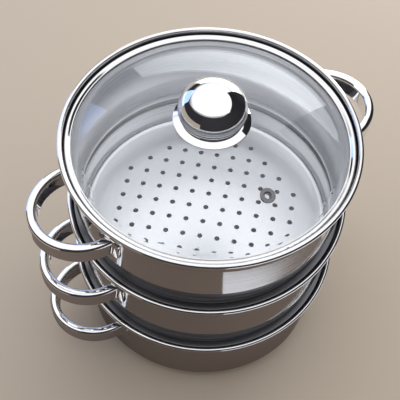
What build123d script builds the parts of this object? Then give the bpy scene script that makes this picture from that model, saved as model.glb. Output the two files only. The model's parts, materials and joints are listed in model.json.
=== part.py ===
from build123d import *
from math import acos, asin, atan, cos, degrees, hypot, radians, sin, sqrt
import os

# A two-tier steamer pot: a water pot, two steaming tiers with pierced bases that stack on it, and
# a glass lid. All lengths are millimetres. The origin is the middle of the pot's underside, +Z is
# up along the common axis, and the loop handles lie along +X and -X.

# Overall sizes
wall_radius = 110.3        # outside of the straight wall of the pot and of both tiers
sheet = 0.8                # steel sheet of the pot and the tiers
pot_height = 76.0          # table to the middle of the pot's rolled rim
stop_drop = 81.0           # middle of a tier's rolled rim down to the underside of its stop rib
skirt_depth = 22.5         # underside of the stop rib down to the lowest point of the tier's base
tier_names = ["lower_tier", "upper_tier"]
overrun = 5.0              # how far a cutting solid runs past what it cuts

# Rolled rim, the same on the pot and both tiers. It stands above an inside ledge, the seat.
bead_radius = 2.0          # outside of the roll
bead_turn = 270.0          # how far round the sheet is rolled, in degrees
seat_drop = 10.0           # middle of the roll down to the top of the seat
seat_width = 3.8           # wall's inside face to the collar's inside face
tight_bend = 0.2           # inside radius of every sharp fold

# Shoulder, stop rib and skirt, with which a tier sits in the rim below it
shoulder_radius = 45.0
shoulder_gap = 2.9         # top of the stop rib up to the end of the shoulder
skirt_inset = 4.4          # wall's outside face to the skirt's outside face
stop_height = 8.7
rim_clearance = 0.9        # radial gap between what sits in a rim and the collar round it

# Pierced base of a tier: a square grid of holes, as many as fit inside a plain margin
base_corner = 5.5          # inside radius between skirt and base
base_crown = 2.9           # how far the middle of the base stands above its edge
hole_pitch = 14.8
hole_radius = 2.25
hole_margin = 18.0         # edge of the flat base in to the middle of the furthest hole
grid_turn = -39.0          # the grid is turned against the handles, in degrees

# Pot's lower corner and its sandwich base
pot_corner = 9.0           # outside radius
core_thickness = 4.5       # aluminium heat spreader
core_inset = 2.9           # edge of the pot's flat base in to the heat spreader's edge
core_round = 2.0
cap_sheet = 0.6            # steel cap round the heat spreader

# Loop handles, one shape for all six
handle_drop = 28.9         # rim's middle down to the middle of the bar
handle_width = 7.6         # bar across, in plan
handle_height = 17.8
handle_edge = 3.2          # rounding of the bar's long edges
handle_half_span = 36.6    # axis to the middle of each leg
handle_reach = 37.5        # outside of the wall to the middle of the bar at its furthest
handle_corner = 39.0       # bend between leg and front, to the bar's middle
handle_corner_turn = 60.0  # degrees
foot_width = 19.0          # foot that the leg is welded to
foot_height = 20.0
foot_round = 4.0
foot_sheet = 1.2

# Lid
glass = 4.0                # thickness
brim_clearance = 0.4       # glass edge to the inside of the steel ring
brim_width = 6.5           # flat edge of the glass that the steel ring grips
brim_rise = 2.2            # underside of the ring to the underside of the glass
brim_blend = 8.0           # top radius between brim and dome
dome_rise = 23.9
edge_round = 1.2           # ground edge of the glass
ring_sheet = 0.6
ring_lip = 4.8             # how far the ring reaches in over the glass
ring_landing = 0.6         # flat of the lip on the glass, before the ring arches up
ring_arch = 1.4            # how far the ring's top stands above its lip
ring_top_width = 2.2       # flat top of the arch, to the ring's outside
ring_round = 1.6           # outside radius of the arch's two corners
ring_foot = 2.9            # radial width of the ring's folded foot
ring_fold = 0.8            # outside radius of the ring's other folds

# Steam vent in the glass
vent_inset = 31.9          # edge of the dome in to the vent
vent_angle = -85.9         # degrees, from the right handle
vent_bore = 2.3
vent_sheet = 0.6
vent_flange = 5.5
vent_curl = 4.4            # radius of the flange under the glass
vent_clearance = 0.1

# Knob, its screw and its washers
knob_radius = 26.0
knob_rise = 21.8           # widest level up to the top
knob_side_turn = 50.0      # degrees of the side's arc, before the flatter top arc takes over
knob_tuck = 9.0            # radius of the underside, below the widest level
knob_tuck_turn = 51.0      # degrees
knob_sheet = 1.2
flare_seat = 1.0           # foot of the ball out to where the flat plate ends and the flare starts
flare_width = 5.9          # flare, in plan
flare_bend = 6.0
flare_clearance = 0.3      # edge of the flare above the glass
stem_radius = 5.0
stem_bore_spare = 2.1      # bore past the end of the screw
screw_radius = 2.5
screw_grip = 11.4          # thread inside the stem
screw_head_radius = 4.6
screw_head = 3.0
screw_edge = 1.0
slot_width = 1.1
slot_depth = 1.6
seal = 1.2                 # silicone washers above and below the glass
seal_radius_above = 14.0
seal_radius_below = 9.0
washer = 1.0
washer_radius = 8.0
screw_clearance = 0.4      # round the screw, in the glass and the washers

# Sizes that follow from these
wall_inside = wall_radius - sheet
collar_inside = wall_inside + seat_width
bead_middle = collar_inside + bead_radius
plug_radius = collar_inside - rim_clearance     # outside of a stop rib and of the lid's ring
skirt_radius = wall_radius - skirt_inset
skirt_inside = skirt_radius - sheet
wide_bend = tight_bend + sheet                  # outside radius of every sharp fold
stack_step = stop_drop - seat_drop
rim_heights = {"pot": pot_height}
for level, name in enumerate(tier_names):
    rim_heights[name] = pot_height + (level + 1) * stack_step
core_radius = wall_radius - pot_corner - core_inset
pot_floor = cap_sheet + core_thickness + sheet  # inside of the pot's base
foot_radius = wall_radius + foot_sheet
handle_front = wall_radius + handle_reach
lid_seat = max(rim_heights.values()) - seat_drop
brim_top = lid_seat + brim_rise + glass
brim_edge = plug_radius - ring_sheet - brim_clearance
dome_start = brim_edge - brim_width
glass_top = brim_top + dome_rise
plate_top = glass_top + seal + knob_sheet       # top of the knob's flared base plate
screw_hole = screw_radius + screw_clearance     # holes that the knob's screw passes through
knob_level = plate_top + knob_tuck * sin(radians(knob_tuck_turn))   # widest level of the ball

# The ball's outline is a side arc and a flatter top arc that meet smoothly
side_sine = sin(radians(knob_side_turn))
side_cosine = cos(radians(knob_side_turn))
ball_share = side_sine + side_cosine - 1
ball_top_radius = (knob_radius * side_sine - knob_rise * (1 - side_cosine)) / ball_share
ball_side_radius = (knob_rise * side_cosine - knob_radius * (1 - side_sine)) / ball_share
ball_foot = knob_radius - knob_tuck * (1 - cos(radians(knob_tuck_turn)))
flare_shoulder = ball_foot + flare_seat
flare_radius = flare_shoulder + flare_width


def bow_angle(rise, run):
    """Slope at the edge of a shallow dome that blends into its rim, in degrees."""
    return degrees(2 * atan(rise / run))


dome_angle = bow_angle(dome_rise, dome_start)
dome_radius = dome_start / sin(radians(dome_angle)) - brim_blend
base_angle = bow_angle(base_crown, skirt_inside - base_corner)
shoulder_turn = degrees(acos(1 - skirt_inset / shoulder_radius))
shoulder_height = shoulder_radius * sin(radians(shoulder_turn))


def save(piece, name):
    """Label a finished piece and write it to its own file."""
    piece.label = name
    export_step(piece, f"parts/{name}.step")


def draw_rim(height, wall_end, out):
    """One face of a rim's sheet, from the end of the roll to a point down the wall.

    The face lies a distance out from the sheet's inside face: zero, or the sheet's thickness.
    """
    roll = CenterArc((bead_middle, height), bead_radius - out, 180 - bead_turn, bead_turn)
    wall = FilletPolyline(
        roll @ 1,
        (collar_inside + out, height - seat_drop - out),
        (wall_inside + out, height - seat_drop - out),
        (wall_inside + out, wall_end),
        radius=[tight_bend + out, wide_bend - out],
    )
    return roll @ 0, wall


def draw_pot(out):
    """One face of the pot's sheet, from the end of the roll to the axis."""
    bend = pot_corner - sheet
    start, wall = draw_rim(pot_height, pot_floor + bend, out)
    corner = JernArc(wall @ 1, wall % 1, bend + out, -90)
    base = Line(corner @ 1, (0, pot_floor - out))
    return start, base @ 1


def tier_floor(rim):
    """Inside of a tier's base at the axis."""
    return rim - stop_drop - skirt_depth + sheet + base_crown


def draw_tier(rim, out):
    """One face of a tier's sheet, from the end of the roll to the axis."""
    stop_top = rim - stop_drop + stop_height - sheet
    stop_bottom = rim - stop_drop + sheet
    corner_start = tier_floor(rim) - base_crown + base_corner
    shoulder_start = rim - stop_drop + stop_height + shoulder_gap + shoulder_height
    start, wall = draw_rim(rim, shoulder_start, out)
    shoulder = JernArc(wall @ 1, wall % 1, shoulder_radius - sheet + out, -shoulder_turn)
    throat = (shoulder @ 1).X
    rib = FilletPolyline(
        shoulder @ 1,
        (throat, stop_top + out),
        (plug_radius - sheet + out, stop_top + out),
        (plug_radius - sheet + out, stop_bottom - out),
        (throat, stop_bottom - out),
        (throat, corner_start),
        radius=[wide_bend - out, tight_bend + out, tight_bend + out, wide_bend - out],
    )
    corner = JernArc(rib @ 1, rib % 1, base_corner + out, -90 - base_angle)
    base = TangentArc(corner @ 1, (0, tier_floor(rim) - out), tangent=corner % 1)
    return start, base @ 1


def draw_glass(out):
    """One face of the lid's glass, from its edge to the axis."""
    brim = Line((brim_edge, brim_top - out), (dome_start, brim_top - out))
    blend = JernArc(brim @ 1, brim % 1, brim_blend + out, -dome_angle)
    dome = TangentArc(blend @ 1, (0, glass_top - out), tangent=blend % 1)
    return brim @ 0, dome @ 1


def draw_ball(inset):
    """One face of the knob's ball, from the axis to its rim on the base plate."""
    widest = (knob_radius - inset, knob_level)
    side = JernArc(widest, (0, 1), ball_side_radius - inset, knob_side_turn)
    top = TangentArc(side @ 1, (0, knob_level + knob_rise - inset), tangent=side % 1)
    tuck_radius = knob_tuck - inset
    tuck_turn = degrees(asin((knob_level - plate_top) / tuck_radius))
    tuck = JernArc(widest, (0, -1), tuck_radius, -tuck_turn)
    return top @ 1, tuck @ 1


def join_ends(first, second):
    """Close an outline between the ends of its two faces."""
    Line(first[0], second[0])
    Line(first[1], second[1])


def draw_strip(points, radius, thickness):
    """Outline of a folded strip from its middle line."""
    FilletPolyline(*points, radius=radius)
    offset(amount=thickness / 2)


def glass_drop(radius, surface_radius):
    """How far a dome's surface lies below its top at a distance from the axis."""
    return surface_radius - sqrt(surface_radius**2 - radius**2)


os.makedirs("parts", exist_ok=True)

# Pot: the rim, a straight wall and a flat base, pressed from one sheet
with BuildPart() as pot_body:
    with BuildSketch(Plane.XZ):
        with BuildLine():
            join_ends(draw_pot(0), draw_pot(sheet))
        make_face()
    revolve(axis=Axis.Z)
save(pot_body.part, "pot_body")

# Sandwich base: an aluminium disc under the pot, and the steel cap that covers it
with BuildPart() as pot_base_core:
    with Locations((0, 0, cap_sheet)):
        Cylinder(core_radius, core_thickness, align=(Align.CENTER, Align.CENTER, Align.MIN))
    fillet(pot_base_core.edges().sort_by(Axis.Z)[0], core_round)
save(pot_base_core.part, "pot_base_core")

with BuildPart() as pot_base_cap:
    Cylinder(
        core_radius + cap_sheet,
        cap_sheet + core_thickness,
        align=(Align.CENTER, Align.CENTER, Align.MIN),
    )
    fillet(pot_base_cap.edges().sort_by(Axis.Z)[0], core_round + cap_sheet)
    add(pot_base_core.part, mode=Mode.SUBTRACT)
save(pot_base_cap.part, "pot_base_cap")

# Steaming tiers: rim, wall, shoulder, stop rib, skirt and pierced base, pressed from one sheet
hole_field = skirt_inside - base_corner - hole_margin
hole_rows = int(hole_field / hole_pitch)
grid_steps = [step * hole_pitch for step in range(-hole_rows, hole_rows + 1)]
hole_places = [(x, y) for y in grid_steps for x in grid_steps if hypot(x, y) <= hole_field]
for tier in tier_names:
    with BuildPart() as tier_body:
        with BuildSketch(Plane.XZ):
            with BuildLine():
                join_ends(draw_tier(rim_heights[tier], 0), draw_tier(rim_heights[tier], sheet))
            make_face()
        revolve(axis=Axis.Z)
        above_base = tier_floor(rim_heights[tier]) + overrun
        with BuildSketch(Plane.XY.offset(above_base).rotated((0, 0, grid_turn))):
            with Locations(*hole_places):
                Circle(hole_radius)
        extrude(amount=-(base_crown + sheet + 2 * overrun), mode=Mode.SUBTRACT)
    save(tier_body.part, f"{tier}_body")

# Loop handles: a rounded bar bent to a D, its legs square to the pot's length
front_radius = (
    handle_half_span - handle_corner * (1 - cos(radians(handle_corner_turn)))
) / cos(radians(handle_corner_turn))
bend_start = (
    handle_front
    - handle_corner * sin(radians(handle_corner_turn))
    - front_radius * (1 - sin(radians(handle_corner_turn)))
)
leg_start = sqrt(wall_inside**2 - (handle_half_span + handle_width) ** 2)
for vessel, rim in rim_heights.items():
    middle = rim - handle_drop
    for side, facing in (("right", 1), ("left", -1)):
        with BuildPart() as handle:
            with BuildLine(Plane((0, 0, middle), x_dir=(facing, 0, 0))) as route:
                leg = Line((leg_start, -handle_half_span), (bend_start, -handle_half_span))
                bend = JernArc(leg @ 1, leg % 1, handle_corner, handle_corner_turn)
                front = JernArc(bend @ 1, bend % 1, front_radius, 180 - 2 * handle_corner_turn)
                last_bend = JernArc(front @ 1, front % 1, handle_corner, handle_corner_turn)
                Line(last_bend @ 1, (leg_start, handle_half_span))
            with BuildSketch(Plane(route.line @ 0, x_dir=(0, 0, 1), z_dir=route.line % 0)):
                RectangleRounded(handle_height, handle_width, handle_edge)
            sweep(path=route.line)
            with Locations((0, 0, middle)):
                Cylinder(foot_radius, handle_height + overrun, mode=Mode.SUBTRACT)
        save(handle.part, f"{vessel}_handle_{side}")

    # Feet: four small plates curved to the wall, which carry the ends of the two handles
    with BuildPart() as feet:
        with BuildSketch(Plane.XY.offset(middle - foot_height)):
            Circle(foot_radius)
            Circle(wall_radius, mode=Mode.SUBTRACT)
        extrude(amount=2 * foot_height)
        with BuildSketch(Plane.YZ):
            with Locations((-handle_half_span, middle), (handle_half_span, middle)):
                RectangleRounded(foot_width, foot_height, foot_round)
        extrude(amount=foot_radius + overrun, both=True, mode=Mode.INTERSECT)
    save(feet.part, f"{vessel}_handle_feet")

# Glass of the lid: a shallow dome with a flat brim, a middle hole and a vent hole
vent_from_axis = dome_start - vent_inset
vent_slope = asin(vent_from_axis / dome_radius)
vent_turn = radians(vent_angle)
vent_place = Plane(
    origin=(
        vent_from_axis * cos(vent_turn),
        vent_from_axis * sin(vent_turn),
        glass_top - glass_drop(vent_from_axis, dome_radius),
    ),
    z_dir=(
        sin(vent_slope) * cos(vent_turn),
        sin(vent_slope) * sin(vent_turn),
        cos(vent_slope),
    ),
)
vent_barrel = vent_bore + vent_sheet
with BuildPart() as lid_glass:
    with BuildSketch(Plane.XZ) as glass_profile:
        with BuildLine():
            join_ends(draw_glass(0), draw_glass(glass))
        make_face()
        fillet(glass_profile.vertices().group_by(Axis.X)[-1], edge_round)
    revolve(axis=Axis.Z)
    with Locations((0, 0, glass_top)):
        Cylinder(screw_hole, 2 * (glass + overrun), mode=Mode.SUBTRACT)
    with Locations(vent_place):
        Cylinder(vent_barrel + vent_clearance, 2 * (glass + overrun), mode=Mode.SUBTRACT)
save(lid_glass.part, "lid_glass")

# Steel ring round the glass: one strip arched over the brim and folded under it, with a hollow foot
with BuildPart() as lid_rim:
    with BuildSketch(Plane.XZ):
        with BuildLine():
            lip_level = brim_top + ring_sheet / 2
            lip_end = plug_radius - ring_lip
            ring_bottom = lid_seat + ring_sheet / 2
            under_glass = lid_seat + brim_rise - ring_sheet / 2
            ring_outside = plug_radius - ring_sheet / 2
            foot_inside = plug_radius - ring_foot
            bends = [ring_fold, ring_round, ring_round, ring_fold, ring_fold, ring_fold]
            draw_strip(
                [
                    (lip_end, lip_level),
                    (lip_end + ring_landing, lip_level),
                    (ring_outside - ring_top_width, lip_level + ring_arch),
                    (ring_outside, lip_level + ring_arch),
                    (ring_outside, ring_bottom),
                    (foot_inside, ring_bottom),
                    (foot_inside, under_glass),
                    (lip_end, under_glass),
                ],
                [bend - ring_sheet / 2 for bend in bends],
                ring_sheet,
            )
        make_face()
    revolve(axis=Axis.Z)
save(lid_rim.part, "lid_rim")

# Vent eyelet: a steel sleeve with a flange above the glass and one curled out below it
with BuildPart() as vent_eyelet:
    with BuildSketch(Plane(vent_place.origin, x_dir=vent_place.x_dir, z_dir=-vent_place.y_dir)):
        with BuildLine():
            flange = vent_sheet / 2 + vent_clearance
            curl = -glass - flange
            barrel = vent_bore + vent_sheet / 2
            draw_strip(
                [(vent_flange, flange), (barrel, flange), (barrel, curl), (vent_curl, curl)],
                vent_sheet,
                vent_sheet,
            )
        make_face()
    revolve(axis=Axis(vent_place.origin, vent_place.z_dir))
save(vent_eyelet.part, "vent_eyelet")

# Knob: a hollow ball on a flared base plate, both pulled down by one screw in a threaded stem
with BuildPart() as knob_base:
    with BuildSketch(Plane.XZ):
        with BuildLine():
            flare_foot = glass_top - glass_drop(flare_radius, dome_radius) + flare_clearance
            draw_strip(
                [
                    (screw_hole + knob_sheet / 2, plate_top - knob_sheet / 2),
                    (flare_shoulder, plate_top - knob_sheet / 2),
                    (flare_radius - knob_sheet / 2, flare_foot + knob_sheet / 2),
                ],
                flare_bend,
                knob_sheet,
            )
        make_face()
    revolve(axis=Axis.Z)
save(knob_base.part, "knob_base")

with BuildPart() as knob_ball:
    with BuildSketch(Plane.XZ):
        with BuildLine():
            join_ends(draw_ball(0), draw_ball(knob_sheet))
        make_face()
    revolve(axis=Axis.Z)
save(knob_ball.part, "knob_ball")

inside_top = knob_level + knob_rise - knob_sheet
stem_top = inside_top - glass_drop(stem_radius, ball_top_radius - knob_sheet)
with BuildPart() as knob_stem:
    with BuildSketch(Plane.XY.offset(plate_top)):
        Circle(stem_radius)
    extrude(amount=stem_top - plate_top)
    with BuildSketch(Plane.XY.offset(plate_top)):
        Circle(screw_radius)
    extrude(amount=screw_grip + stem_bore_spare, mode=Mode.SUBTRACT)
save(knob_stem.part, "knob_stem")

# Washers: silicone above and below the glass, shaped to it, and steel under the lower one
with BuildPart() as knob_seal_above:
    with BuildSketch(Plane.XY.offset(glass_top + seal)):
        Circle(seal_radius_above)
        Circle(screw_hole, mode=Mode.SUBTRACT)
    extrude(amount=-(seal + glass_drop(seal_radius_above, dome_radius) + overrun))
    with Locations((0, 0, glass_top - dome_radius)):
        Sphere(dome_radius, mode=Mode.SUBTRACT)
save(knob_seal_above.part, "knob_seal_above")

seal_bottom = glass_top - glass - seal
with BuildPart() as knob_seal_below:
    with BuildSketch(Plane.XY.offset(seal_bottom)):
        Circle(seal_radius_below)
        Circle(screw_hole, mode=Mode.SUBTRACT)
    extrude(amount=seal + overrun)
    with Locations((0, 0, glass_top - dome_radius)):
        Sphere(dome_radius - glass, mode=Mode.INTERSECT)
save(knob_seal_below.part, "knob_seal_below")

with BuildPart() as knob_washer:
    with BuildSketch(Plane.XY.offset(seal_bottom - washer)):
        Circle(washer_radius)
        Circle(screw_hole, mode=Mode.SUBTRACT)
    extrude(amount=washer)
save(knob_washer.part, "knob_washer")

# Screw: a domed head with a cross slot under the lid, its shank up into the stem
head_top = seal_bottom - washer
with BuildPart() as knob_screw:
    with BuildSketch(Plane.XY.offset(head_top)):
        Circle(screw_head_radius)
    extrude(amount=-screw_head)
    fillet(knob_screw.edges().group_by(Axis.Z)[0], screw_edge)
    with BuildSketch(Plane.XY.offset(head_top - screw_head)):
        Rectangle(screw_head_radius, slot_width)
        Rectangle(slot_width, screw_head_radius)
    extrude(amount=slot_depth, mode=Mode.SUBTRACT)
    with BuildSketch(Plane.XY.offset(head_top)):
        Circle(screw_radius)
    extrude(amount=plate_top + screw_grip - head_top)
save(knob_screw.part, "knob_screw")
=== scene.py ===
# %% [markdown]
# A steamer pot on a studio floor.
#
# The pot, its two tiers and its lid are loaded as a fixed model at their real size, and every
# length here is in metres in that model's frame: the origin is the middle of the pot's underside,
# +Z is up and +X runs through the right handles. This script gives the pot its looks. Pieces whose
# shape is right, such as the handles and the lid, keep their mesh and get a finish. The three
# pressed vessels are modelled again, because their inside and outside are finished differently.

# %% Load the model
import json
from math import acos, atan, cos, pi, radians, sin, sqrt

import bmesh
import bpy
from mathutils import Matrix, Quaternion, Vector


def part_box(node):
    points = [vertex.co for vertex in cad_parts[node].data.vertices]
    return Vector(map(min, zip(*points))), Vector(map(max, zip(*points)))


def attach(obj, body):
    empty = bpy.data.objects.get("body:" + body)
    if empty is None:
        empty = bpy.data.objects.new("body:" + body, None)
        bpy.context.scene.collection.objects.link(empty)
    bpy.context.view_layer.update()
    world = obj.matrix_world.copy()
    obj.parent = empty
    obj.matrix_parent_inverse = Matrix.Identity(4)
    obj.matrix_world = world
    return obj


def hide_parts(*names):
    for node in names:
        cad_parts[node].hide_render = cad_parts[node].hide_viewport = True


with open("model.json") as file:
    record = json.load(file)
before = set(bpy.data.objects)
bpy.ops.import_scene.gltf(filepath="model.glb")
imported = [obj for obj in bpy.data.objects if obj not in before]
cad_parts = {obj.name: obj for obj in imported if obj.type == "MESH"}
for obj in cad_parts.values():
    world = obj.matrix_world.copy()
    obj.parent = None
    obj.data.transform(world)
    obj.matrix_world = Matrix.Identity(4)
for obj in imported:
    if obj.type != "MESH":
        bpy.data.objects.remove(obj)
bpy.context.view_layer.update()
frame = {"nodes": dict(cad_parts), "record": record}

scene = bpy.context.scene
mm = 0.001
print("pieces in the model:", len(frame["nodes"]))

# %% [markdown]
# The photograph looks down on the pot from its left front. Its viewpoint was found from the rims
# and from the steam holes that show: they are a square grid, so a camera is right when it puts the
# grid where the photograph has it. The camera leans a little, so it is aimed first and then turned
# about its own line of sight.

# %% Camera
camera_place = Vector((-0.1967, -0.3104, 0.6672))
camera_target = Vector((-0.0008, 0.0091, 0.1182))
camera_lean = radians(3.38)
sensor_width = 36.0
focal_share = 1.8865                      # focal length as a share of the sensor's width

camera_data = bpy.data.cameras.new("camera")
camera_data.sensor_width = sensor_width
camera_data.lens = focal_share * sensor_width
camera = bpy.data.objects.new("camera", camera_data)
scene.collection.objects.link(camera)
aim = (camera_target - camera_place).to_track_quat("-Z", "Y")
camera.rotation_euler = (aim @ Quaternion((0, 0, 1), camera_lean)).to_euler()
camera.location = camera_place
scene.camera = camera
scene.view_settings.view_transform = "Standard"
print("camera to pot:", round((camera_target - camera_place).length, 3), "m")

# %% [markdown]
# Materials are small trees of nodes. Two helpers keep them short: one makes a material with its
# Principled shader, the other adds a node and fills its inputs in the same line.

# %% Helpers for materials
def new_material(name):
    """A node material, its node tree and its Principled shader."""
    material = bpy.data.materials.new(name)
    material.use_nodes = True
    return material, material.node_tree, material.node_tree.nodes["Principled BSDF"]


def add_node(tree, kind, inputs=None, **settings):
    """A node with its settings. An input is a plain value, or another node's output."""
    node = tree.nodes.new("ShaderNode" + kind)
    for name, value in settings.items():
        setattr(node, name, value)
    for name, value in (inputs or {}).items():
        if isinstance(value, bpy.types.NodeSocket):
            tree.links.new(value, node.inputs[name])
        else:
            node.inputs[name].default_value = value
    return node


# %% [markdown]
# Polished steel has no colour of its own: it shows what is round it. So the room matters as much
# as the metal. The room here is a soft sky that is bright overhead and falls to dark grey lower
# down, which draws the dark edges along a polished bar. It leans towards the window side, as
# daylight does in a room.

# %% Sky
window_side = radians(60)                 # direction of the daylight, from the right handles
sky_lean = radians(14)                    # the bright middle of the sky, away from overhead
sky_dark = (0.030, 0.030, 0.036, 1)
sky_bright = (1.2, 1.2, 1.23, 1)
sky_start, sky_full = sin(radians(26)), sin(radians(38))      # where the sky's light begins

world = bpy.data.worlds.new("sky")
world.use_nodes = True
tree = world.node_tree
look = add_node(tree, "TexCoord").outputs["Generated"]
sky_middle = (sin(sky_lean) * cos(window_side), sin(sky_lean) * sin(window_side), cos(sky_lean))
height = add_node(tree, "VectorMath", {0: look, 1: sky_middle}, operation="DOT_PRODUCT")
fade = add_node(
    tree, "MapRange",
    {"Value": height.outputs["Value"], "From Min": sky_start, "From Max": sky_full},
    interpolation_type="SMOOTHSTEP",
)
sky = add_node(
    tree, "Mix", {"Factor": fade.outputs["Result"], "A": sky_dark, "B": sky_bright},
    data_type="RGBA",
)
tree.links.new(sky.outputs["Result"], tree.nodes["Background"].inputs["Color"])
scene.world = world

# %% [markdown]
# The window is one large lamp that stands on the far side. Its top edge and its left edge draw
# the crisp curves on the glass lid, so it is placed by the directions that those curves mirror.
# Its level says how bright its face looks beside white. A paler lamp at the left gives the blue
# patch on the glass.

# %% Window and floor
def around(turn, distance, level):
    """A point at a turn in degrees from the right handles, and a distance from the axis."""
    return Vector((distance * cos(radians(turn)), distance * sin(radians(turn)), level))


def add_window(name, facing, distance, left, right, low, high, levels, colour):
    """A lamp standing square to a direction. Its level runs from its right to its left side."""
    width = left - right
    data = bpy.data.lights.new(name, "AREA")
    data.shape = "RECTANGLE"
    data.size, data.size_y = width, high - low
    data.energy = pi * width * (high - low)
    data.color = colour
    data.use_nodes = True
    tree = data.node_tree
    place = add_node(tree, "NewGeometry").outputs["Parametric"]
    across = add_node(tree, "SeparateXYZ", {"Vector": place})
    level = add_node(
        tree, "MapRange", {"Value": across.outputs["X"], "To Min": levels[0], "To Max": levels[1]}
    )
    tree.links.new(level.outputs["Result"], tree.nodes["Emission"].inputs["Strength"])
    lamp = bpy.data.objects.new(name, data)
    sideways = around(facing + 90, (left + right) / 2, 0)
    lamp.location = around(facing, distance, (low + high) / 2) + sideways
    lamp.rotation_euler = (-around(facing, 1, 0)).to_track_quat("-Z", "Y").to_euler()
    lamp.visible_camera = False
    scene.collection.objects.link(lamp)
    print(name, "is", round(width, 2), "m wide and", round(high - low, 2), "m high")


add_window("window", 34, 1.1, 1.15, -0.70, 0.02, 0.64, (4.2, 1.2), (0.93, 0.96, 1.0))
add_window("side_window", 108, 1.2, 0.45, -0.20, 0.02, 0.74, (1.7, 1.7), (0.36, 0.54, 1.0))

floor_size = 40.0
floor_mesh = bmesh.new()
bmesh.ops.create_grid(floor_mesh, x_segments=1, y_segments=1, size=floor_size / 2)
floor_data = bpy.data.meshes.new("floor")
floor_mesh.to_mesh(floor_data)
floor = bpy.data.objects.new("floor", floor_data)
scene.collection.objects.link(floor)
material, tree, shader = new_material("floor")
shader.inputs["Base Color"].default_value = (0.52, 0.44, 0.35, 1)
shader.inputs["Roughness"].default_value = 0.9
floor_data.materials.append(material)

# %% [markdown]
# Polished metal also needs something dark to mirror, or its edges vanish. A studio puts dark cloth
# on the camera's side for that, upright and on the floor. Here a line is spun part of the way
# round the axis: an upright line gives a curved screen, and a level one an apron. Only mirror-like
# rays see them, so they are painted reflections that leave the light on the floor alone. The dark
# screen is a painted dark reflection. The brown aprons are painted shade: they are the floor in
# shade beside the pot, as the metal mirrors it. A pale apron at the right front is a painted
# highlight that draws the bright upright patch on the upper wall.

# %% Dark cloth
def add_cloth(name, start, end, near, far, colour, steps=32):
    """Cloth round the axis, from one direction to another. Its edges are (distance, level)."""
    mesh = bmesh.new()
    foot = mesh.verts.new(around(start, *near))
    top = bmesh.ops.extrude_vert_indiv(mesh, verts=[foot])["verts"][0]
    top.co = around(start, *far)
    bmesh.ops.spin(
        mesh, geom=mesh.verts[:] + mesh.edges[:], cent=(0, 0, 0), axis=(0, 0, 1),
        angle=radians(end - start), steps=steps, use_merge=False,
    )
    data = bpy.data.meshes.new(name)
    mesh.to_mesh(data)
    mesh.free()
    screen = bpy.data.objects.new(name, data)
    scene.collection.objects.link(screen)
    material, tree, shader = new_material(name)
    shader.inputs["Base Color"].default_value = (*colour, 1)
    shader.inputs["Roughness"].default_value = 1.0
    shader.inputs["Specular IOR Level"].default_value = 0.0
    data.materials.append(material)
    screen.visible_camera = False
    screen.visible_diffuse = False
    screen.visible_transmission = False
    screen.visible_shadow = False
    print(name, "covers", end - start, "degrees")


add_cloth("dark_screen", 205, 380, (0.60, 0.0), (0.60, 0.75), (0.045, 0.045, 0.050))
floor_shade_brown, reflected_light_white = (0.20, 0.155, 0.125), (0.96, 0.97, 1.0)
# The brown aprons are painted shade of the floor, and the pale apron a painted reflection of light.
add_cloth("dark_apron", 150, 252, (0.112, 0.003), (0.60, 0.003), floor_shade_brown)
add_cloth("dark_apron_end", 252, 330, (0.112, 0.003), (0.185, 0.003), floor_shade_brown)
add_cloth("pale_apron", 252, 330, (0.185, 0.003), (0.60, 0.003), reflected_light_white)

# %% [markdown]
# Every steel piece here was spun, pressed or polished while it turned, so its fine lines run
# round the axis. One trick draws them on walls and bases alike: noise is stretched round the axis,
# and its third coordinate is height plus distance from the axis. On a wall only the height
# changes, which gives level lines. On a base only the distance changes, which gives circles.

# %% Turned grain
def turned_grain(tree, fineness, spread=6.0, detail=3.0):
    """Noise in lines round the axis, with this many lines to the metre."""
    place = add_node(tree, "TexCoord").outputs["Object"]
    parts = add_node(tree, "SeparateXYZ", {"Vector": place})
    flat = add_node(tree, "CombineXYZ", {"X": parts.outputs["X"], "Y": parts.outputs["Y"]})
    out = add_node(tree, "VectorMath", {0: flat.outputs[0]}, operation="LENGTH")
    along = add_node(tree, "Math", {0: out.outputs["Value"], 1: parts.outputs["Z"]}, operation="ADD")
    fine = add_node(tree, "Math", {0: along.outputs[0], 1: fineness}, operation="MULTIPLY")
    wide = add_node(tree, "VectorMath", {0: flat.outputs[0], "Scale": spread}, operation="SCALE")
    wide_parts = add_node(tree, "SeparateXYZ", {"Vector": wide.outputs[0]})
    where = add_node(
        tree, "CombineXYZ",
        {"X": wide_parts.outputs["X"], "Y": wide_parts.outputs["Y"], "Z": fine.outputs[0]},
    )
    noise = add_node(tree, "TexNoise", {"Vector": where.outputs[0], "Scale": 1.0, "Detail": detail})
    return noise.outputs["Fac"]


noise_low, noise_high = 0.3, 0.7          # most of a noise lies between these


def spread_over(tree, factor, low, high):
    """A plain number that runs from low to high as the factor's middle range does."""
    limits = {"From Min": noise_low, "From Max": noise_high, "To Min": low, "To Max": high}
    return add_node(tree, "MapRange", {"Value": factor, **limits}).outputs["Result"]
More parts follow.
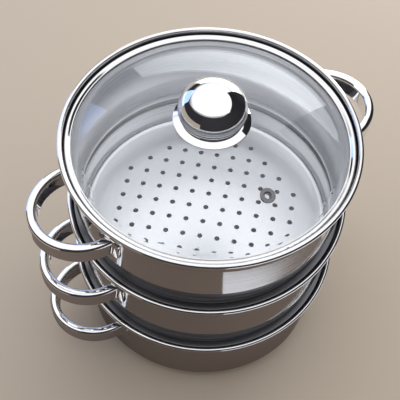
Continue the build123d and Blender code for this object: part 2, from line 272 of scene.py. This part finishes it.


# %% [markdown]
# A few finishes of the same steel. Mirror polish is for the handles and the knob: almost no
# roughness, with a slight waviness and very fine lines from the buffing wheel. The vessels'
# outside is polished too, but fine level lines stretch what it mirrors upwards. Their inside is
# satin, soft and without a clear reflection, in two copies: a darker one on the drawn wall is
# painted shade, and a paler one on the base is painted light.

# %% Steel finishes
def steel(name, colour, roughness, fineness, depth, wave_scale=30.0, wave_depth=0.0):
    """Steel with turned grain. Roughness is (low, high); depths are in metres."""
    material, tree, shader = new_material(name)
    grain = turned_grain(tree, fineness)
    place = add_node(tree, "TexCoord").outputs["Object"]
    wave = add_node(tree, "TexNoise", {"Vector": place, "Scale": wave_scale, "Detail": 1.0})
    tint = add_node(
        tree, "Mix",
        {"Factor": spread_over(tree, grain, 0.0, 1.0), "A": (*colour, 1),
         "B": (*(min(1.0, part * 1.06) for part in colour), 1)},
        data_type="RGBA",
    )
    tree.links.new(tint.outputs["Result"], shader.inputs["Base Color"])
    tree.links.new(spread_over(tree, grain, *roughness), shader.inputs["Roughness"])
    shader.inputs["Metallic"].default_value = 1.0
    lines = add_node(tree, "Bump", {"Height": grain, "Strength": 1.0, "Distance": depth})
    waves = add_node(
        tree, "Bump",
        {"Height": wave.outputs["Fac"], "Strength": 1.0, "Distance": wave_depth,
         "Normal": lines.outputs["Normal"]},
    )
    tree.links.new(waves.outputs["Normal"], shader.inputs["Normal"])
    return material


mirror_polish = steel(
    "mirror_polish", (0.84, 0.84, 0.85), (0.02, 0.05), 900, 0.002 * mm, 40, 0.02 * mm
)
outer_polish = steel(
    "outer_polish", (0.80, 0.795, 0.79), (0.05, 0.11), 1500, 0.004 * mm, 30, 0.03 * mm
)
# The inner wall's satin is darker as painted shade, and the base's satin is paler as painted light.
shaded_wall_satin = steel("shaded_wall_satin", (0.66, 0.66, 0.68), (0.20, 0.28), 900, 0.01 * mm)
lit_base_satin = steel("lit_base_satin", (0.90, 0.90, 0.91), (0.30, 0.40), 900, 0.01 * mm)
# The dark steel is painted shade: it darkens the narrow gaps between the vessels and the vent
# eyelet.
painted_shade_steel = steel("painted_shade_steel", (0.17, 0.17, 0.18), (0.25, 0.35), 900, 0.01 * mm)
circular_brush = steel("circular_brush", (0.60, 0.60, 0.61), (0.22, 0.34), 1200, 0.02 * mm)
plain_steel = steel("plain_steel", (0.55, 0.55, 0.56), (0.18, 0.28), 1500, 0.006 * mm)
aluminium = steel("aluminium", (0.80, 0.80, 0.82), (0.30, 0.45), 600, 0.02 * mm)

# %% [markdown]
# The lid is clear toughened glass. Real glass lets lamps shine through it, but a path tracer
# stops their light at a refracting surface. So the shader lets shadow rays pass, slightly tinted,
# while the camera still sees true glass with its bend and its reflections. Toughening leaves such
# glass faintly wavy, which a very shallow bump gives.

# %% Glass and silicone
glass_tint = (0.955, 0.975, 0.985, 1)

lid_glass, tree, shader = new_material("lid_glass")
shader.inputs["Base Color"].default_value = glass_tint
shader.inputs["Transmission Weight"].default_value = 1.0
shader.inputs["IOR"].default_value = 1.5
place = add_node(tree, "TexCoord").outputs["Object"]
ripple = add_node(tree, "TexNoise", {"Vector": place, "Scale": 25.0, "Detail": 1.0}).outputs["Fac"]
tree.links.new(spread_over(tree, ripple, 0.0, 0.02), shader.inputs["Roughness"])
ripples = add_node(tree, "Bump", {"Height": ripple, "Strength": 1.0, "Distance": 0.01 * mm})
tree.links.new(ripples.outputs["Normal"], shader.inputs["Normal"])
rays = add_node(tree, "LightPath")
open_glass = add_node(tree, "BsdfTransparent", {"Color": glass_tint})
choose = add_node(
    tree, "MixShader",
    {0: rays.outputs["Is Shadow Ray"], 1: shader.outputs[0], 2: open_glass.outputs[0]},
)
tree.links.new(choose.outputs[0], tree.nodes["Material Output"].inputs["Surface"])

silicone, tree, shader = new_material("silicone")
place = add_node(tree, "TexCoord").outputs["Object"]
speckle = add_node(tree, "TexNoise", {"Vector": place, "Scale": 900.0})
tree.links.new(spread_over(tree, speckle.outputs["Fac"], 0.40, 0.55), shader.inputs["Roughness"])
shader.inputs["Base Color"].default_value = (0.72, 0.73, 0.74, 1)
shader.inputs["Subsurface Weight"].default_value = 0.2
shader.inputs["Subsurface Radius"].default_value = (0.002, 0.002, 0.002)

by_slot = {
    "polished_steel": outer_polish,
    "mirror_steel": mirror_polish,
    "brushed_steel": circular_brush,
    "plain_steel": plain_steel,
    "aluminium": aluminium,
    "lid_glass": lid_glass,
    "silicone": silicone,
}
slot_of = {part["node"]: part["material_slot"] for part in frame["record"]["subparts"]}
body_of = {
    node: body for body, nodes in frame["record"]["behaviour"]["bodies"].items() for node in nodes
}
for name, node in frame["nodes"].items():
    for slot in node.material_slots:
        # The vent eyelet takes the dark steel too, as painted shade.
        slot.material = painted_shade_steel if name == "vent_eyelet" else by_slot[slot_of[name]]
print("finishes:", len(by_slot))

# %% [markdown]
# The vessels are pressed from one sheet. A sheet is easiest to draw as a single line that is bent
# as wire is: straight runs and arcs. The line grows here from one vertex. Extruding the last
# vertex makes a run, and spinning it about a centre makes an arc. Spinning the whole line about
# the axis then makes the vessel.

# %% A line that grows by runs and bends
class Outline:
    """A line in the XZ plane. Heading 0 points out along +X, and 90 points up."""

    def __init__(self, radius, height, heading):
        self.mesh = bmesh.new()
        self.end = self.mesh.verts.new((radius, 0, height))
        self.heading = heading

    def run(self, length):
        """Go straight on."""
        self.end = bmesh.ops.extrude_vert_indiv(self.mesh, verts=[self.end])["verts"][0]
        turn = radians(self.heading)
        step = Vector((cos(turn), 0, sin(turn))) * length
        bmesh.ops.translate(self.mesh, verts=[self.end], vec=step)

    def run_to_radius(self, radius):
        self.run((radius - self.end.co.x) / cos(radians(self.heading)))

    def run_to_height(self, height):
        self.run((height - self.end.co.z) / sin(radians(self.heading)))

    def bend(self, radius, turn, steps=5):
        """Go round an arc, to the left for a positive turn."""
        side = radians(self.heading) + (pi / 2 if turn > 0 else -pi / 2)
        centre = self.end.co + Vector((cos(side), 0, sin(side))) * radius
        arc = bmesh.ops.spin(
            self.mesh, geom=[self.end], cent=centre, axis=(0, -1, 0),
            angle=radians(turn), steps=steps, use_merge=False,
        )
        self.end = next(item for item in arc["geom_last"] if isinstance(item, bmesh.types.BMVert))
        self.heading += turn


round_steps = 144
weld_distance = 0.001 * mm


def spin_round(mesh):
    """Spin an outline about the common axis, and close its seam and its pole."""
    bmesh.ops.spin(
        mesh, geom=mesh.verts[:] + mesh.edges[:], cent=(0, 0, 0), axis=(0, 0, 1),
        angle=2 * pi, steps=round_steps, use_merge=True,
    )
    bmesh.ops.remove_doubles(mesh, verts=mesh.verts[:], dist=weld_distance)


# %% Sizes of the vessels
sheet = 0.8 * mm
bead_radius = 2.0 * mm
seat_drop = 10.0 * mm                     # middle of the roll down to the ledge inside the rim
tight_bend = 0.2 * mm
wide_bend = tight_bend + sheet
wall_radius = 110.3 * mm
wall_inside = wall_radius - sheet
collar_inside = wall_inside + 3.8 * mm
plug_radius = collar_inside - 0.9 * mm    # outside of the stop rib that rests on a ledge
stop_drop = 81.0 * mm                     # middle of the roll down to the rib's underside
stop_height = 8.7 * mm
shoulder_radius = 45.0 * mm
shoulder_gap = 2.9 * mm
skirt_inset = 4.4 * mm
skirt_depth = 22.5 * mm
base_corner = 5.5 * mm
base_crown = 2.9 * mm
pot_corner = 8.2 * mm                     # inside radius
pot_floor = 5.9 * mm

shoulder_turn = acos(1 - skirt_inset / shoulder_radius) * 180 / pi
shoulder_height = shoulder_radius * sin(radians(shoulder_turn))
throat = wall_inside - (shoulder_radius - sheet) * (1 - cos(radians(shoulder_turn)))
flat_edge = throat - base_corner
crown_turn = 2 * atan(base_crown / flat_edge)
crown_radius = flat_edge / sin(crown_turn) - base_corner
crown_edge = flat_edge - base_corner * sin(crown_turn)      # where the crown meets the corner's bend


def rim_height(vessel):
    """Middle of the rolled rim."""
    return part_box(vessel + "_body")[1].z - bead_radius


# %% Outlines of the vessels
fold_steps = 3
corner_steps = 12
shoulder_steps = 10
roll_steps = 24
roll_turn = 270


def draw_rim(line, rim):
    """From a straight wall: the ledge, the collar above it and the roll."""
    line.run_to_height(rim - seat_drop - wide_bend)
    line.bend(wide_bend, -90)
    line.run_to_radius(collar_inside - tight_bend)
    line.bend(tight_bend, 90, fold_steps)
    line.run_to_height(rim)
    line.bend(bead_radius, -roll_turn, roll_steps)


def draw_pot(rim):
    """The pot's inside face, from the axis to the end of its roll."""
    line = Outline(0, pot_floor, 0)
    line.run_to_radius(wall_inside - pot_corner)
    line.bend(pot_corner, 90, corner_steps)
    draw_rim(line, rim)
    return line.mesh


def draw_tier(rim):
    """A tier's inside face, from the edge of its pierced base to the end of its roll."""
    lowest = rim - stop_drop - skirt_depth + sheet
    crown = crown_turn * 180 / pi
    line = Outline(crown_edge, lowest + base_corner * (1 - cos(crown_turn)), -crown)
    line.bend(base_corner, 90 + crown, corner_steps)
    line.run_to_height(rim - stop_drop + sheet - wide_bend)
    line.bend(wide_bend, -90)
    line.run_to_radius(plug_radius - sheet - tight_bend)
    line.bend(tight_bend, 90, fold_steps)
    line.run_to_height(rim - stop_drop + stop_height - sheet - tight_bend)
    line.bend(tight_bend, 90, fold_steps)
    line.run_to_radius(throat + wide_bend)
    line.bend(wide_bend, -90)
    line.run_to_height(rim - stop_drop + stop_height + shoulder_gap)
    line.heading -= shoulder_turn
    line.bend(shoulder_radius - sheet, shoulder_turn, shoulder_steps)
    draw_rim(line, rim)
    return line.mesh


# %% [markdown]
# A tier's base has ninety-seven steam holes in a square grid. A cutting modifier would leave long
# thin faces there, which smear a soft reflection. Instead one cell is modelled: a circle whose
# edge is pushed out to a square. Copies of the cell stand edge to edge and are merged. The field's
# stepped outline is then bridged to the round wall, and all of it is lifted to the base's crown.

# %% Pierced base
hole_pitch = 14.8 * mm
hole_radius = 2.25 * mm
hole_sides = 24
hole_margin = 18.0 * mm
grid_turn = radians(-39)
hole_field = flat_edge - hole_margin
hole_rows = int(hole_field / hole_pitch)
rows = [row * hole_pitch for row in range(-hole_rows, hole_rows + 1)]
hole_places = [Vector((x, y, 0)) for y in rows for x in rows if x * x + y * y <= hole_field**2]
print("steam holes in a tier:", len(hole_places))


def make_hole_field():
    """A flat field of square cells with a round hole in each."""
    mesh = bmesh.new()
    bmesh.ops.create_circle(mesh, cap_ends=False, segments=hole_sides, radius=hole_radius)
    pushed = bmesh.ops.extrude_edge_only(mesh, edges=mesh.edges[:])["geom"]
    for vertex in (item for item in pushed if isinstance(item, bmesh.types.BMVert)):
        vertex.co *= hole_pitch / 2 / max(abs(vertex.co.x), abs(vertex.co.y))
    cell = mesh.verts[:] + mesh.edges[:] + mesh.faces[:]
    for place in hole_places:
        if place.length > 0:
            copy = bmesh.ops.duplicate(mesh, geom=cell)["geom"]
            copied = [item for item in copy if isinstance(item, bmesh.types.BMVert)]
            bmesh.ops.translate(mesh, verts=copied, vec=place)
    bmesh.ops.remove_doubles(mesh, verts=mesh.verts[:], dist=weld_distance)
    turn = Matrix.Rotation(grid_turn, 3, "Z")
    bmesh.ops.rotate(mesh, verts=mesh.verts[:], cent=(0, 0, 0), matrix=turn)
    return mesh


def add_base(mesh, rim):
    """Join the hole field to a spun wall, and raise it to the crown."""
    field = make_hole_field()
    data = bpy.data.meshes.new("hole_field")
    field.to_mesh(data)
    field.free()
    wall_edges = set(mesh.edges)
    wall_verts = set(mesh.verts)
    mesh.from_mesh(data)
    bpy.data.meshes.remove(data)
    longest_in_a_hole = hole_radius / 2            # the field's outline has longer edges than holes
    rough_edge = [
        edge for edge in mesh.edges
        if edge not in wall_edges and edge.is_boundary and edge.calc_length() > longest_in_a_hole
    ]
    wall_edge = [
        edge for edge in wall_edges
        if edge.is_boundary
        and all(abs(v.co.xy.length - crown_edge) < weld_distance for v in edge.verts)
    ]
    bmesh.ops.bridge_loops(mesh, edges=rough_edge + wall_edge)
    top = rim - stop_drop - skirt_depth + sheet + base_crown
    for vertex in mesh.verts:
        if vertex not in wall_verts:
            away = vertex.co.xy.length
            vertex.co.z = top - (crown_radius - sqrt(crown_radius**2 - away**2))


# %% [markdown]
# The outline is the sheet's inside face only. Giving it thickness turns it into a shell, holes and
# rolled rim included. The new outer faces take the polish, the skirt's too, and the inner ones stay
# satin up to the ledge. A polishing wheel hardly reaches the ledge, the fold above the stop rib or
# the underside of a pierced base, so those are dull. They are also made dark, which stands for the
# deep shade in the narrow gaps between the vessels. Edges sharper than a fold are marked, so that
# the holes stay crisp while the walls are shaded smoothly.

# %% Thickness and finish
sharp_angle = radians(38)
inside, outside, gap_shade, on_the_base = range(4)
shoulder_top = stop_height + shoulder_gap + shoulder_height - stop_drop      # from the roll's middle


def find_finish(face, rim, inner, stacks):
    """Which finish a face gets, by its side of the sheet, its place and if its vessel stacks."""
    middle = face.calc_center_median()
    level, away = middle.z - rim, middle.xy.length
    if inner and level < -seat_drop - wide_bend:
        return on_the_base if away < throat - 2 * sheet else inside
    # The collar under the roll and a tier's outside from the shoulder down, skirt aside, take the
    # painted shade of the gaps.
    under_roll = -seat_drop - wide_bend < level < -2 * bead_radius
    in_collar = under_roll and away < collar_inside + sheet / 2
    on_the_skirt = level < -stop_drop and away > flat_edge
    in_shoulder = stacks and level < shoulder_top and not on_the_skirt
    return gap_shade if in_collar or in_shoulder else outside


def turn_inwards(mesh):
    """Point an open vessel's faces to its inside."""
    bmesh.ops.recalc_face_normals(mesh, faces=mesh.faces[:])
    inwards = 0.0
    for face in mesh.faces:
        to_axis = -Vector((*face.calc_center_median().xy, 0))
        inwards += face.calc_area() * face.normal.dot(to_axis)
    if inwards < 0:
        bmesh.ops.reverse_faces(mesh, faces=mesh.faces[:])


def make_piece(mesh, name, body, slot, *materials):
    """Finish a mesh as a piece that rides a body."""
    for face in mesh.faces:
        face.smooth = True
    for edge in mesh.edges:
        edge.smooth = len(edge.link_faces) != 2 or edge.calc_face_angle() < sharp_angle
    data = bpy.data.meshes.new(name)
    mesh.to_mesh(data)
    mesh.free()
    for material in materials:
        data.materials.append(material)
    piece = bpy.data.objects.new(name, data)
    scene.collection.objects.link(piece)
    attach(piece, body)
    print(name, "has", len(data.polygons), "faces")
    return piece


def make_vessel(vessel):
    """Spin, pierce and thicken a vessel's sheet."""
    rim = rim_height(vessel)
    mesh = draw_pot(rim) if vessel == "pot" else draw_tier(rim)
    spin_round(mesh)
    if vessel != "pot":
        add_base(mesh, rim)
    turn_inwards(mesh)
    inner = set(mesh.faces)
    bmesh.ops.solidify(mesh, geom=mesh.faces[:], thickness=sheet)
    for face in mesh.faces:
        face.material_index = find_finish(face, rim, face in inner, vessel != "pot")
    body = body_of[vessel + "_body"]
    finishes = (shaded_wall_satin, outer_polish, painted_shade_steel, lit_base_satin)
    piece = make_piece(mesh, vessel + "_shell", body, "polished_steel", *finishes)
    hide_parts(vessel + "_body")
    return piece


for vessel in ("pot", "lower_tier", "upper_tier"):
    shell = make_vessel(vessel)
    low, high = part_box(vessel + "_body")
    heights = [vertex.co.z for vertex in shell.data.vertices]
    reach = max(vertex.co.xy.length for vertex in shell.data.vertices)
    print(vessel, "model:", [round(size / mm, 3) for size in (low.z, high.z, high.y)])
    print(vessel, "piece:", [round(size / mm, 3) for size in (min(heights), max(heights), reach)])
